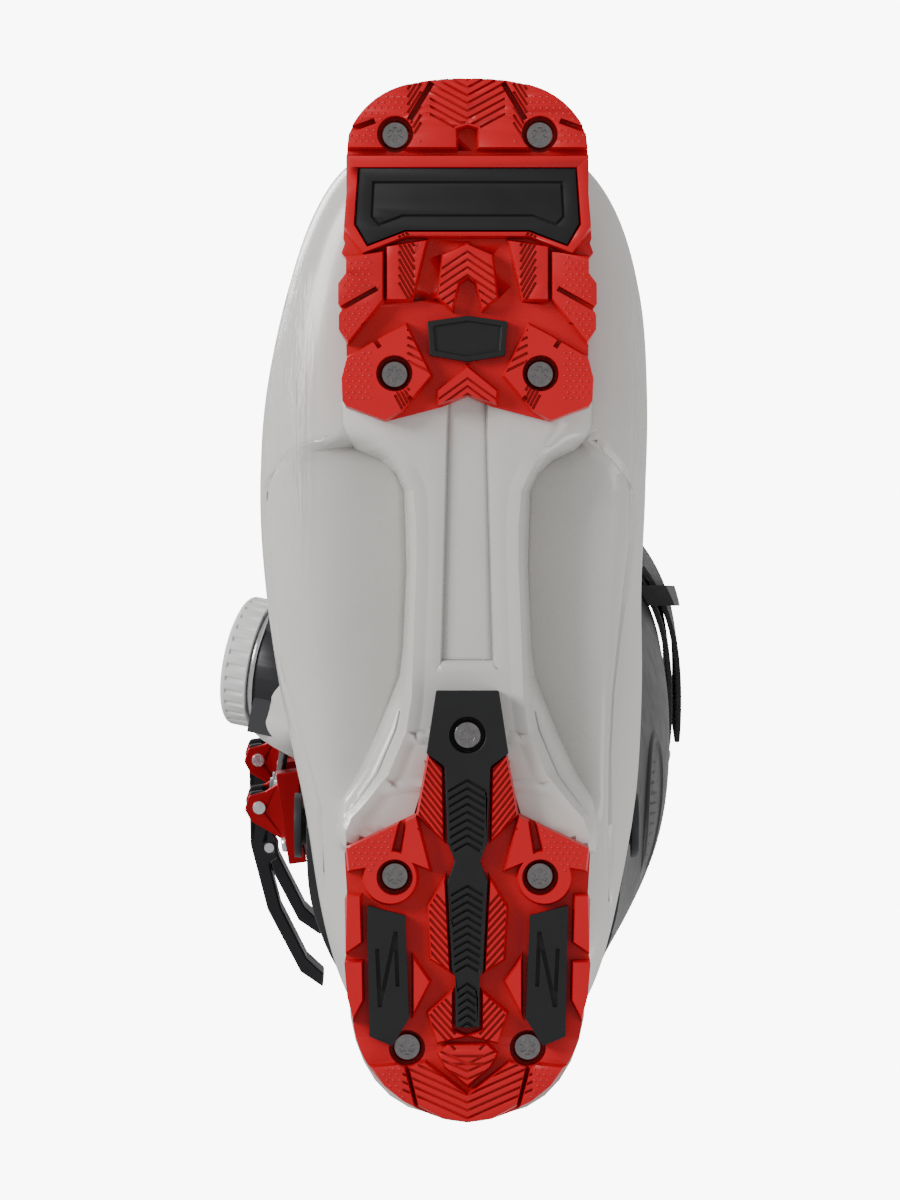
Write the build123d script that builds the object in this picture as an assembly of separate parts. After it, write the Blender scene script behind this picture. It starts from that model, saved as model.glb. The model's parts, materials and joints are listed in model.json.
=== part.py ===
from build123d import *
import os
from math import copysign, cos, pi, radians, sin

# Alpine ski boot, right foot, boot sole length 306 mm.
# Origin: mid-sole mark on the ground plane. +X toe, +Y medial (inner) side, -Y lateral (outer), +Z up.

os.makedirs("parts", exist_ok=True)

# ---------------------------------------------------------------- driving dimensions (mm)
SOLE_TIP = 153.0             # half of the boot sole length
PLATE_TOP = 18.0             # top of both sole plates, where they meet the shell
LUG_HEIGHT = 4.6             # plate floor above the tread
GROOVE_DEPTH = 1.1
GROOVE_PITCH = 2.3
GROOVE_WIDTH = 0.8
LUG_TAPER = -9.0             # lugs widen towards the plate
LUG_ROOT = 12.5              # lugs run up into the plate this far, past the rockered floor
ROCKER_START = 86.0          # the tread is flat up to here, then it curls up
ROCKER_RADIUS = 420.0
HEEL_ROCKER_START = -128.0
HEEL_ROCKER_RADIUS = 160.0

SHELL_WALL = 4.5
SHELL_FLOOR = 11.0
LINER_WALL = 7.0
LINER_FLOOR = 3.0
BOARD_TOP = 39.0
GAP = 0.4                    # between curved neighbours

PIVOT_X, PIVOT_Z = -70.0, 105.0      # ankle axis of the cuff
PIVOT_RADIUS = 6.0
CUFF_WALL = 4.0
CUFF_FLEX = 8.0              # degrees of forward flex
CUFF_FRONT_TOP = 268.0
CUFF_REAR_TOP = 302.0
COLLAR_RADIUS = 53.0         # the liner bends on this cylinder about the ankle axis

SCREW_HEAD_RADIUS = 4.2
SCREW_POCKET_RADIUS = 5.3
SCREW_SHANK_RADIUS = 2.4
SCREW_HEAD_BASE = 8.6
SCREW_HEAD_THICKNESS = 2.6
INSERT_RADIUS = 4.0
INSERT_TOP = 27.0

TOE_SCREWS = [(136.6, 21.2), (136.6, -21.2), (66.3, 21.4), (66.3, -21.4)]
HEEL_SCREWS = [(-81.1, 21.3), (-81.1, -21.3), (-131.3, 17.7), (-131.3, -17.7)]
SPINE_SCREW = (-39.5, 0.0)

DIAL_CENTRE = (-20.0, -61.4, 92.0)   # on the shell, lateral side
DIAL_TURN = -11.0                    # degrees about +Z away from -Y, towards the toe
DIAL_TILT = 15.0                     # degrees up
DIAL_RADIUS = 20.0
DIAL_THICKNESS = 8.4

LEVER_REACH = 62.0                   # pivot to lever tip
BAIL_OFFSET = 14.0                   # bail pin behind the lever pivot
BAIL_DEPTH = -1.2                    # and this far below it
BAIL_TURN = 17.0                     # degrees the sleeve dips inboard, so that the lever locks over centre
EAR_SPACING = 15.0
RIVET_RADIUS = 1.6

STRAP_LOW, STRAP_HIGH = 258.0, 298.0
STRAP_THICKNESS = 2.4


# ---------------------------------------------------------------- helpers
def save(shape, node):
    export_step(shape, f"parts/{node}.step")


def block(x_low, x_high, y_low, y_high, z_low, z_high):
    centre = Pos((x_low + x_high) / 2, (y_low + y_high) / 2, (z_low + z_high) / 2)
    return centre * Box(x_high - x_low, y_high - y_low, z_high - z_low)


def plan_face(points):
    """A polygon in the ground plane that faces up, whichever way round its points run."""
    doubled_area = sum(a[0] * b[1] - b[0] * a[1] for a, b in zip(points, list(points[1:]) + [points[0]]))
    return Polygon(*(points if doubled_area > 0 else points[::-1]), align=None)


def raised(face, height):
    return extrude(face, height, dir=(0, 0, 1))


def side_prism(points, y_low, y_high):
    """Extrudes an outline drawn in (x, z) from y_low to y_high."""
    face = Plane.XZ.offset(-y_high) * plan_face(points)
    return extrude(face, y_high - y_low, dir=(0, -1, 0))


def with_mirror(points):
    return list(points) + [(x, -y) for x, y in reversed(points) if y]


def both_sides(face):
    return face + mirror(face, Plane.XZ)


def strip(start, end, width):
    """A straight slit between two points of the plan."""
    along = Vector(*end) - Vector(*start)
    across = Vector(-along.Y, along.X).normalized() * (width / 2)
    a, b = Vector(*start), Vector(*end)
    return plan_face([tuple(p)[:2] for p in (a + across, a - across, b - across, b + across)])


def chevrons(apex_x, count, half_span, rise, centre_y=0.0, pitch=GROOVE_PITCH):
    """V-shaped grooves side by side along X: apex on centre_y, arms rising by rise."""
    grooves = Sketch()
    for step in range(count):
        x = apex_x + step * pitch
        arm = [(x, 0), (x + rise, half_span), (x + rise + GROOVE_WIDTH, half_span), (x + GROOVE_WIDTH, 0)]
        far = [(px, -py) for px, py in reversed(arm)]
        grooves += Pos(0, centre_y) * plan_face(arm)
        grooves += Pos(0, centre_y) * plan_face(far)
    return grooves


def diagonals(start, direction_degrees, count, length, pitch=GROOVE_PITCH):
    """Parallel straight grooves that start on one line and step along +X."""
    reach = Vector(length * cos(radians(direction_degrees)), length * sin(radians(direction_degrees)))
    grooves = Sketch()
    for step in range(count):
        first = Vector(*start) + Vector(step * pitch, 0)
        grooves += strip(tuple(first)[:2], tuple(first + reach)[:2], GROOVE_WIDTH)
    return grooves


def closed_section(points):
    count = len(points)
    knots = [step / count for step in range(count + 1)]
    return Wire([Edge.make_spline([Vector(*p) for p in points], periodic=True, parameters=knots)])


# ---------------------------------------------------------------- side profile of the tread
def above_tread(lift, top=60.0):
    """Everything above the rockered tread surface, raised by lift."""
    toe_rise = ROCKER_RADIUS - (ROCKER_RADIUS**2 - (SOLE_TIP + 3 - ROCKER_START) ** 2) ** 0.5
    heel_run = HEEL_ROCKER_START + SOLE_TIP + 3
    heel_rise = HEEL_ROCKER_RADIUS - (HEEL_ROCKER_RADIUS**2 - heel_run**2) ** 0.5
    tip, tail = SOLE_TIP + 3, -SOLE_TIP - 3
    heel = (tail, heel_rise + lift)
    toe = (tip, toe_rise + lift)
    edges = [
        Polyline((tip, toe[1]), (tip, top), (tail, top), (tail, heel[1])).edges(),
        TangentArc((HEEL_ROCKER_START, lift), heel, tangent=(-1, 0)).edges(),
        Line((HEEL_ROCKER_START, lift), (ROCKER_START, lift)).edges(),
        TangentArc((ROCKER_START, lift), toe, tangent=(1, 0)).edges(),
    ]
    face = Plane.XZ.offset(-60) * make_face([edge for group in edges for edge in group])
    return extrude(face, 120)


ABOVE_TREAD = above_tread(0)
ABOVE_FLOOR = above_tread(LUG_HEIGHT)
ABOVE_GROOVES = above_tread(GROOVE_DEPTH)


def pair(points):
    """A lug outline and its mirror image across the boot's centre plane."""
    return [plan_face(points), plan_face([(x, -y) for x, y in reversed(points)])]


def lug_solid(faces):
    """Lugs from the tread up into the plate, their sides spreading towards the plate."""
    solids = Part()
    for face in faces:
        solids += extrude(face, LUG_ROOT, taper=LUG_TAPER) & ABOVE_TREAD
    return solids


def tread_plate(outline, lugs, slits, grooves, screws):
    plate = raised(outline, PLATE_TOP) & ABOVE_FLOOR
    body = plate + (lug_solid(lugs) & raised(outline, PLATE_TOP))
    if slits.faces():
        body -= raised(slits, PLATE_TOP) - ABOVE_FLOOR
    for lug in lugs:
        cut = grooves & lug
        if cut.faces():
            body -= raised(cut, PLATE_TOP) - ABOVE_GROOVES
    for x, y in screws:
        pocket = Pos(x, y, 0) * Cylinder(SCREW_POCKET_RADIUS, SCREW_HEAD_BASE + SCREW_HEAD_THICKNESS,
                                         align=(Align.CENTER, Align.CENTER, Align.MIN))
        hole = Pos(x, y, 0) * Cylinder(SCREW_SHANK_RADIUS + 0.1, PLATE_TOP + 1,
                                       align=(Align.CENTER, Align.CENTER, Align.MIN))
        body = body - pocket - hole
    return body


# ---------------------------------------------------------------- toe plate
def toe_outline():
    arcs = [
        ThreePointArc((151.5, 16.1), (152.7, 8.1), (153, 0)),
        ThreePointArc((137, 34.7), (146.4, 27.6), (151.5, 16.1)),
    ]
    side = Polyline((137, 34.7), (130, 35.5), (119, 35.4), (106, 36.4), (104.6, 35.9), (101.8, 36.9),
                    (100.1, 35.5), (95.6, 35.5), (92.5, 37.8), (86.6, 37.8), (85.3, 36.7), (83.2, 37.6),
                    (79.1, 37.6), (75.6, 35.5), (70.8, 35.4), (64.9, 36.9), (58.4, 36.6), (56.6, 35.7),
                    (52.2, 24.3), (56.6, 7.4), (59.7, 0))
    half = arcs[0].edges() + arcs[1].edges() + side.edges()
    other = [mirror(edge, Plane.XZ) for edge in half]
    return Sketch() + make_face(list(half) + other)


PAD_HALF = [(126.3, 0), (126.3, 31.6), (110.1, 32.6), (104, 29.2), (108.2, 18.3), (108.2, 0)]
BADGE_HALF = [(83.2, 0), (81.5, 11.7), (71.5, 11), (69.7, 0)]


def toe_lugs():
    outline = toe_outline()
    front = outline & plan_face([(133, -40), (160, -40), (160, 40), (133, 40)])
    front -= plan_face([(132, -3.8), (138.6, -3.8), (139.8, 0), (138.6, 3.8), (132, 3.8)])
    side_dotted = pair([(101.7, 24.9), (88, 24.9), (75.6, 35), (79.1, 37.6), (83.2, 37.6), (85.3, 36.7),
                        (86.6, 37.8), (92.5, 37.8), (95.6, 35.5), (100.1, 35.5)])
    side_chevron = pair([(103.2, 23.4), (104.9, 12.3), (88, 16.4), (88, 23.4)])
    arch = pair([(103.9, 0), (100.8, 7), (88.6, 8.4), (85.3, 4.6), (92.8, 2.8), (94.6, 0)])
    screw_lug = pair([(77.3, 24), (80.4, 18.1), (65.6, 10.9), (55.3, 19.5), (52.6, 24.3), (56.8, 35.4),
                      (58.4, 36.5), (64.9, 36.7), (70.8, 35.2)])
    rear = pair([(68, 0), (61.1, 8.4), (57.6, 8.2), (59.9, 0)])
    frame = plan_face(with_mirror([(129.6, 0), (129.6, 35.4), (109.4, 36), (101.6, 30.6), (106.6, 18), (106.6, 0)]))
    frame -= plan_face(with_mirror([(127, 0), (127, 32.4), (109.8, 33.4), (103.2, 29.4), (107.5, 18), (107.5, 0)]))
    return [front, frame & outline] + side_dotted + side_chevron + arch + screw_lug + rear


def toe_slits():
    front = strip((151.8, 10.4), (140.8, 16.9), 1.7) + strip((137.2, 35.8), (140.4, 27.1), 1.7)
    middle = strip((84.6, 38), (91.1, 26.4), 1.5)
    screw = strip((81, 30.6), (73.8, 25.6), 1.4) + strip((52, 12.5), (59.5, 17.2), 1.4)
    return both_sides(front + middle + screw)


def toe_grooves():
    centre = chevrons(136, 8, 11.0, 6.0)
    outer_arm = diagonals((133.5, 17.5), -32, 9, 7.5)
    chevron_lug = diagonals((85, 15.5), 30, 9, 9)
    screw_arms = diagonals((66, 9.5), 64, 7, 9) + diagonals((52, 17), 28, 5, 9)
    arch = chevrons(90, 6, 9, -6)
    rear = chevrons(57.5, 4, 9, -6.5)
    return centre + arch + rear + both_sides(outer_arm + chevron_lug + screw_arms)


PAD_DEPTH = 8.6
PAD_LINE_WIDTH = 0.8
PAD_LINE_BOTTOM = 1.5


def pad_seat():
    return raised(plan_face(with_mirror(PAD_HALF)), PAD_DEPTH)


def toe_pad():
    """Rubber pad of the toe plate, with a fine line engraved inside its edge."""
    border = plan_face(with_mirror([(122.6, 0), (122.6, 27.9), (112, 28.4), (109.3, 26), (112, 19), (112, 0)]))
    line = raised(border, PAD_DEPTH) - raised(offset(border, -PAD_LINE_WIDTH), PAD_DEPTH)
    return (pad_seat() & above_tread(0.6)) - (line - above_tread(PAD_LINE_BOTTOM))


def badge():
    plate = raised(plan_face(with_mirror(BADGE_HALF)), LUG_HEIGHT) & above_tread(1.6)
    inner = raised(plan_face(with_mirror([(81.6, 0), (80.1, 10), (73, 9.4), (71.4, 0)])), 2.3)
    return plate - inner


# ---------------------------------------------------------------- heel plate
def heel_outline():
    rear = [
        ThreePointArc((-153.1, 0), (-150.6, 11.6), (-144.3, 21.6)),
        ThreePointArc((-144.3, 21.6), (-135.2, 29.8), (-122.5, 33.6)),
    ]
    side = Polyline((-122.5, 33.6), (-115.8, 35.2), (-106, 36), (-104, 35.6), (-87.7, 36), (-86, 35.3),
                    (-74.3, 36), (-72.2, 35.5), (-62.5, 15), (-44.9, 11.7), (-44.9, 0))
    half = rear[0].edges() + rear[1].edges() + side.edges()
    other = [mirror(edge, Plane.XZ) for edge in half]
    return Sketch() + make_face(list(half) + other)


SPINE_HALF = [(-26.5, 0), (-26.5, 9.2), (-44.9, 12.0), (-48.7, 6.7), (-70.9, 5.8), (-76.4, 3.7), (-82.2, 5.8),
              (-108.2, 4.5), (-110, 3.6), (-125, 3.4), (-125, 0)]
SIDE_PAD = [(-89.4, 29.3), (-92.3, 18.2), (-122.5, 17.1), (-130.4, 22.0), (-127.6, 28.7)]


def heel_lugs():
    lugs = pair([(-45.8, 11.3), (-49.4, 7.6), (-69.7, 7.2), (-62.9, 14.4)])
    lugs += pair([(-72.6, 35.3), (-65.5, 20.4), (-77.2, 23.2), (-78.9, 34.6)])
    lugs += pair([(-63.4, 15.2), (-78.6, 11.3), (-75.5, 19.4), (-64.6, 17.6)])
    lugs += [Pos(-81.1, side * 22.6) * Circle(7.6) for side in (1, -1)]
    lugs += pair([(-82.2, 6.8), (-89.8, 11.3), (-104.9, 10.4), (-108.2, 5.4)])
    lugs += pair([(-86.6, 35.2), (-86.6, 31.6), (-100, 31.2), (-103, 35.6)])
    lugs += pair([(-106, 36), (-106, 31.0), (-117, 30.8), (-122, 33.4), (-115.8, 35.2)])
    lugs += pair([(-105.3, 15.6), (-111.6, 11.3), (-120, 15.6)])
    lugs += pair([(-115, 4.6), (-120.8, 11.3), (-129.2, 8.7), (-127.4, 1), (-126, 4.6)])
    lugs += pair([(-136.8, 27.8), (-135.9, 18.8), (-147.7, 15.9), (-146.4, 18.6), (-142, 24.2)])
    lugs += pair([(-145.2, 0), (-135.4, 12.5), (-136.2, 17), (-147.6, 14.2), (-151.4, 7), (-152.4, 0)])
    lugs += [plan_face(with_mirror([(-130.2, 5.8), (-132.6, 8.4), (-136.4, 6.4), (-141.6, 0)]))]
    return lugs


def heel_grooves():
    flank = diagonals((-76, 7), 38, 13, 12)
    rear = chevrons(-152, 8, 19, 8.5)
    hexagon = diagonals((-112, 4.5), 42, 10, 10)
    pentagon = diagonals((-131.5, 3.5), 42, 6, 11)
    shield = chevrons(-136, 2, 5, 0)
    return rear + shield + both_sides(flank + hexagon + pentagon)


def side_pads():
    pads = raised(both_sides(plan_face(SIDE_PAD)), LUG_HEIGHT) & above_tread(0.4)
    mark = strip((-97, 21), (-119, 25.6), 1.2) + strip((-97, 21), (-113, 20.4), 1.2)
    mark += strip((-119, 25.6), (-102, 26.4), 1.2)
    return pads - raised(both_sides(mark), 1.3)


def spine_plate():
    """Black central plate: it lies in the heel plate behind and on the shell's arch in front."""
    bar_part = raised(plan_face(with_mirror(SPINE_HALF)), LUG_HEIGHT)
    front = plan_face([(-26.5, -9.2), (-26.5, 9.2), (-44.9, 12.0), (-44.9, -12.0)])
    plate = bar_part + raised(front, 9.0)
    grooves = chevrons(-71.5, 9, 6.2, -3.6) + chevrons(-107, 11, 5.4, -3.2) + chevrons(-124, 6, 3.4, -2.4)
    inset = plan_face(with_mirror([(x, max(y - 0.8, 0)) for x, y in SPINE_HALF]))
    plate -= raised(grooves & inset, 1.0)
    x, y = SPINE_SCREW
    pocket = Cylinder(SCREW_POCKET_RADIUS, 3.4, align=(Align.CENTER, Align.CENTER, Align.MIN))
    hole = Cylinder(SCREW_SHANK_RADIUS + 0.1, 10, align=(Align.CENTER, Align.CENTER, Align.MIN))
    plate -= Pos(x, y, 0) * pocket
    plate -= Pos(x, y, 0) * hole
    return plate


# ---------------------------------------------------------------- screws and inserts
def sole_screw(x, y, head_base, tip):
    head = Cylinder(SCREW_HEAD_RADIUS, SCREW_HEAD_THICKNESS, align=(Align.CENTER, Align.CENTER, Align.MAX))
    head = chamfer(head.faces().sort_by(Axis.Z)[0].edges(), 0.5)
    shank = Cylinder(SCREW_SHANK_RADIUS, tip - head_base, align=(Align.CENTER, Align.CENTER, Align.MIN))
    recess = Part()
    for turn in (0, 60, 120):
        recess += Rot(0, 0, turn) * Box(4.6, 1.1, 3.0)
    drive = Pos(0, 0, -SCREW_HEAD_THICKNESS) * recess
    return Pos(x, y, head_base) * (head + shank - drive)


def insert(x, y):
    body = Cylinder(INSERT_RADIUS, INSERT_TOP - PLATE_TOP - 0.5, align=(Align.CENTER, Align.CENTER, Align.MIN))
    bore = Cylinder(SCREW_SHANK_RADIUS + 0.05, 20)
    return Pos(x, y, PLATE_TOP + 0.5) * (body - bore)


# ---------------------------------------------------------------- foot shell
# Fan of sections from the toe to the top of the shaft. Each row: the sole-side point (x, z), the instep-side
# point (x, z), lateral and medial half-widths, squareness, and where up the section it is widest.
FAN = [
    ((134, 27), (131, 52), 22, 22, 2.4, 1.0),
    ((129, 22), (124, 63), 35, 34, 2.6, 1.1),
    ((115, 20), (108, 72), 44.5, 43.5, 2.8, 1.2),
    ((92, 19.5), (84, 83), 52.5, 50, 2.8, 1.25),
    ((62, 19.5), (54, 98), 58.5, 52, 2.8, 1.3),
    ((32, 19.5), (28, 118), 60, 51.5, 2.8, 1.35),
    ((2, 19.5), (8, 140), 58.5, 50.5, 2.8, 1.4),
    ((-35, 19.5), (-2, 160), 54.5, 51, 2.7, 1.4),
    ((-78, 20), (-8, 180), 48, 49.5, 2.6, 1.3),
    ((-116, 22), (-12, 196), 44, 45, 2.5, 1.2),
    ((-136, 45), (-14, 210), 41.5, 42.5, 2.4, 1.1),
    ((-134, 80), (-14, 222), 41.5, 42.5, 2.3, 1.05),
    ((-128, 115), (-12, 232), 42, 43, 2.3, 1.0),
    ((-121, 150), (-9, 242), 43, 45, 2.3, 1.0),
]
SECTION_POINTS = 20


def fan_section(row, inset, floor):
    low, high, lateral, medial, square, bias = row
    start, end = Vector(low[0], 0, low[1]), Vector(high[0], 0, high[1])
    way = (end - start).normalized()
    start, end = start + way * floor, end - way * inset
    points = []
    for step in range(SECTION_POINTS):
        turn = 2 * pi * (step + 0.5) / SECTION_POINTS
        across = copysign(abs(sin(turn)) ** (2 / square), sin(turn))
        along = (1 - copysign(abs(cos(turn)) ** (2 / square), cos(turn))) / 2
        width = (medial if across > 0 else lateral) - inset
        place = start + (end - start) * along**bias
        points.append((place.X, across * width, place.Z))
    return closed_section(points)


def foot_form(inset=0.0, floor=0.0, tip=0.0, rows=FAN):
    """The boot's foot-and-shaft form, inset on its walls, raised at its floor, shortened at its toe."""
    sections = []
    for index, row in enumerate(rows):
        if index == 0 and tip:
            low, high = row[0], row[1]
            row = ((low[0] - tip, low[1]), (high[0] - tip, high[1])) + row[2:]
        sections.append(fan_section(row, inset, floor))
    return Solid.make_loft(sections)


SHAFT_TRIM = [(-160, 134), (-128, 134), (-62, 188), (-30, 203), (30, 203), (30, 300), (-160, 300)]
THROAT_HALF = 17.0


def arch_pocket(side):
    """Concave hollow beside the arch's central beam."""
    return Pos(3, side * 36, 6.5) * Rot(0, 90, 0) * Cylinder(19, 96)


CUFF_ROOM_DROP = 3.0           # room below the cuff's lower edge and inside its wall, so that
CUFF_ROOM_GAP = GAP + 0.7      # it stays clear at the angles between the three that are cut


def cuff_room():
    """Space kept free for the cuff over its whole flex; the shell's flanks are recessed by it."""
    region = [(x, z - CUFF_ROOM_DROP) for x, z in CUFF_BOTTOM[2:-1]] + [(-160, 116.5), (-160, 320), (100, 320)]
    return side_prism(region, -90, 90) - cuff_form(CUFF_WALL + CUFF_ROOM_GAP)


def flexed(shape, degrees):
    """Turns a shape forwards about the ankle axis."""
    pivot = Pos(PIVOT_X, 0, PIVOT_Z)
    return pivot * Rot(0, degrees, 0) * pivot.inverse() * shape


def dial_seat():
    """Round recess in the flank: a deep one for the spool, a shallow one for the knob."""
    up = (Align.CENTER, Align.CENTER, Align.MIN)
    return DIAL_PLACE * (Pos(0, 0, -8.8) * Cylinder(11.8, 40, align=up) + Pos(0, 0, -1.9) * Cylinder(21, 30, align=up))


def lower_shell():
    outer = foot_form() - arch_pocket(1) - arch_pocket(-1)
    toe_ledge = raised(offset(toe_outline(), -0.6), 9.0)
    heel_ledge = raised(offset(heel_outline(), -0.4), 13.0)
    beam = raised(plan_face(with_mirror([(58.5, 0), (56.2, 24), (45, 24), (33, 14.5), (23, 13.2), (5, 13.2),
                                          (-22, 15.5), (-44, 29.5), (-66, 34.5), (-69, 33), (-62.2, 15.4),
                                          (-44.5, 12.4), (-26.1, 9.6), (-26.1, 0)])), 14.0)
    body = outer + Pos(0, 0, PLATE_TOP) * toe_ledge + Pos(0, 0, PLATE_TOP) * heel_ledge
    body += Pos(0, 0, 9.0) * (beam - raised(plan_face([(57, -7.4), (57, 7.4), (-26, 9), (-26, -9)]), 3.0))
    body += block(-44.7, -26.4, -11, 11, 9.0, 22)
    body = body - raised(toe_outline(), PLATE_TOP) - dial_seat()
    body -= foot_form(SHELL_WALL, SHELL_FLOOR, SHELL_WALL + 1)
    body -= side_prism(SHAFT_TRIM, -80, 80)
    throat = side_prism([(40, 96), (-60, 152), (-60, 260), (60, 260)], -THROAT_HALF, THROAT_HALF)
    body -= throat
    room = cuff_room()
    for degrees in (0, CUFF_FLEX / 2, CUFF_FLEX):
        body -= flexed(room, degrees)
    body -= leg_room()
    for side in (1, -1):
        body -= Pos(PIVOT_X, side * 45, PIVOT_Z) * Rot(90, 0, 0) * Cylinder(PIVOT_RADIUS + 0.05, 30)
    for x, y in TOE_SCREWS + HEEL_SCREWS + [SPINE_SCREW]:
        body -= Pos(x, y, PLATE_TOP + 0.4) * Cylinder(INSERT_RADIUS + 0.05, INSERT_TOP - PLATE_TOP,
                                                      align=(Align.CENTER, Align.CENTER, Align.MIN))
        body -= Pos(x, y, 0) * Cylinder(SCREW_SHANK_RADIUS + 0.1, INSERT_TOP,
                                        align=(Align.CENTER, Align.CENTER, Align.MIN))
    return largest(body)


def leg_room():
    """Straight space for the ankle and lower leg, which nothing reaches into."""
    return block(-68.4, -21.6, -22.4, 22.4, 63, 330)


def overlap_flap():
    """The shell's overlapping flap that closes the throat over the instep, from inside."""
    shell = foot_form(SHELL_WALL + GAP, SHELL_FLOOR, 0, FAN[2:])
    shell -= foot_form(SHELL_WALL + GAP + 2.6, SHELL_FLOOR, 0, FAN[2:])
    band = side_prism([(50, 82), (-70, 146), (-40, 212), (60, 212)], -THROAT_HALF - 9, THROAT_HALF + 12)
    return largest((shell & band) - leg_room())


def largest(shape):
    return max(shape.solids(), key=lambda solid: solid.volume)


def boot_board():
    form = foot_form(SHELL_WALL + GAP, SHELL_FLOOR + 0.3, SHELL_WALL + 8)
    slab = block(-140, 116, -60, 60, 20, BOARD_TOP)
    return largest(form & slab)


# ---------------------------------------------------------------- liner
def pivot_cylinder(radius):
    return Pos(PIVOT_X, 0, PIVOT_Z) * Rot(90, 0, 0) * Cylinder(radius, 200)


def liner_form():
    outer_inset = SHELL_WALL + GAP + 0.9 + 2.6
    low = BOARD_TOP - PLATE_TOP - 0.5
    outer = foot_form(outer_inset, low, SHELL_WALL + 2, FAN[1:])
    inner = foot_form(outer_inset + LINER_WALL, low + LINER_FLOOR, 1, FAN[2:])
    return outer - inner


def wedge(start_degrees, end_degrees, reach=260):
    """The sector seen from the ankle axis between two angles above +X."""
    points = [(PIVOT_X, PIVOT_Z)]
    steps = 4
    for step in range(steps + 1):
        turn = radians(start_degrees + (end_degrees - start_degrees) * step / steps)
        points.append((PIVOT_X + reach * cos(turn), PIVOT_Z + reach * sin(turn)))
    return side_prism(points, -90, 90)


def liner_foot():
    form = liner_form()
    form -= wedge(20, 174) - pivot_cylinder(COLLAR_RADIUS - 0.6)
    form -= block(-200, 100, -15, 15, 118, 260)
    form -= block(-160, 160, -80, 80, 0, BOARD_TOP + 0.1)
    return largest(form)


def cuff_section(z, inset):
    """Plan section of the cuff at a height: rear and front points follow the leg's forward lean."""
    level = [(60, -141, -8, 47, 47), (105, -138, -4, 49.5, 49.5), (150, -132, 8, 51.5, 57),
             (200, -120, 17, 56, 66), (250, -107, 28, 58, 68), (300, -92, 39, 58, 68), (330, -84, 45, 58, 68)]
    for below, above in zip(level, level[1:]):
        if below[0] <= z <= above[0]:
            share = (z - below[0]) / (above[0] - below[0])
            rear, front, lateral, medial = [a + (b - a) * share for a, b in zip(below[1:], above[1:])]
    rear, front, lateral, medial = rear + inset, front - inset, lateral - inset, medial - inset
    centre, half = (rear + front) / 2, (front - rear) / 2
    points = []
    for step in range(SECTION_POINTS):
        turn = 2 * pi * (step + 0.5) / SECTION_POINTS
        x = centre + half * copysign(abs(cos(turn)) ** 0.84, cos(turn))
        side = medial if sin(turn) > 0 else lateral
        points.append((x, side * copysign(abs(sin(turn)) ** 0.84, sin(turn)), z))
    return closed_section(points)


CUFF_LEVELS = (60, 105, 150, 200, 250, 300, 330)


def cuff_form(inset=0.0, levels=CUFF_LEVELS):
    return Solid.make_loft([cuff_section(z, inset) for z in levels])


def liner_collar():
    form = cuff_form(CUFF_WALL + 3.2) - cuff_form(CUFF_WALL + 3.2 + LINER_WALL + 2)
    form &= block(-200, 100, -90, 90, 100, 322)
    low = side_prism([(-200, 0), (100, 0), (100, 206), (-40, 216), (-72, 206), (-140, 150), (-200, 150)], -90, 90)
    form -= low
    form -= block(-40, 100, -16, 16, 100, 330)
    rim = side_prism([(-200, 322), (-90, 322), (20, 296), (100, 284), (100, 400), (-200, 400)], -90, 90)
    form -= rim
    return largest(form)


def liner_tongue():
    form = cuff_form(CUFF_WALL + 4.5) - cuff_form(CUFF_WALL + 12.5)
    form &= block(-20, 100, -15.2, 15.2, 222, 316)
    return largest(form)


# ---------------------------------------------------------------- cuff
CUFF_BOTTOM = [(-200, 0), (100, 0), (100, 176), (6, 176), (-22, 140), (-42, 106), (-54, 90), (-70, 84),
               (-88, 90), (-104, 108), (-124, 118), (-200, 118)]
CUFF_TOP = [(-200, CUFF_REAR_TOP), (-92, CUFF_REAR_TOP), (-60, 292), (-10, CUFF_FRONT_TOP + 4),
            (100, CUFF_FRONT_TOP - 8), (100, 400), (-200, 400)]


def cuff():
    shell = cuff_form() - cuff_form(CUFF_WALL)
    shell -= side_prism(CUFF_BOTTOM, -90, 90)
    shell -= side_prism(CUFF_TOP, -90, 90)
    shell -= block(-41, -35, -90, 0, 60, 330)
    for side in (1, -1):
        shell -= Pos(PIVOT_X, side * 48, PIVOT_Z) * Rot(90, 0, 0) * Cylinder(PIVOT_RADIUS + 3.05, 16)
    for buckle in (LOWER_BUCKLE, UPPER_BUCKLE):
        shell -= flange_holes(buckle) & block(-200, 100, -90, 0, 60, 330)
    return largest(shell)


def cuff_overlap():
    """Inner lip that closes the slit between the cuff's two flaps on the lateral side."""
    shell = cuff_form(CUFF_WALL + 0.1) - cuff_form(CUFF_WALL + 2.6)
    shell &= block(-54, -22, -90, -30, 208, 262)
    return largest(shell)


def spoiler():
    shell = cuff_form(CUFF_WALL + 0.1) - cuff_form(CUFF_WALL + 3.0)
    shell &= side_prism([(-130, 262), (-62, 262), (-58, 318), (-130, 326)], -44, 44)
    return largest(shell)


PIVOT_BUSH_Y = 47.2


def pivot_bush(side):
    ring = Cylinder(PIVOT_RADIUS + 3, 3.6) - Cylinder(PIVOT_RADIUS + 0.05, 10)
    return Pos(PIVOT_X, side * PIVOT_BUSH_Y, PIVOT_Z) * Rot(90, 0, 0) * ring


def pivot_bolt(side):
    """Flat-headed bolt through the cuff's bush into the shell's flank, pointing outwards."""
    up = (Align.CENTER, Align.CENTER, Align.MIN)
    shaft = Pos(0, 0, 40.6) * Cylinder(PIVOT_RADIUS, 10.6, align=up)
    head = Pos(0, 0, 51.1) * Cylinder(PIVOT_RADIUS + 4, 2.2, align=up)
    slot = Pos(0, 0, 53.3) * Box(12, 1.6, 1.6)
    return Pos(PIVOT_X, 0, PIVOT_Z) * Rot(side * -90, 0, 0) * (shaft + head - slot)


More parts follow.
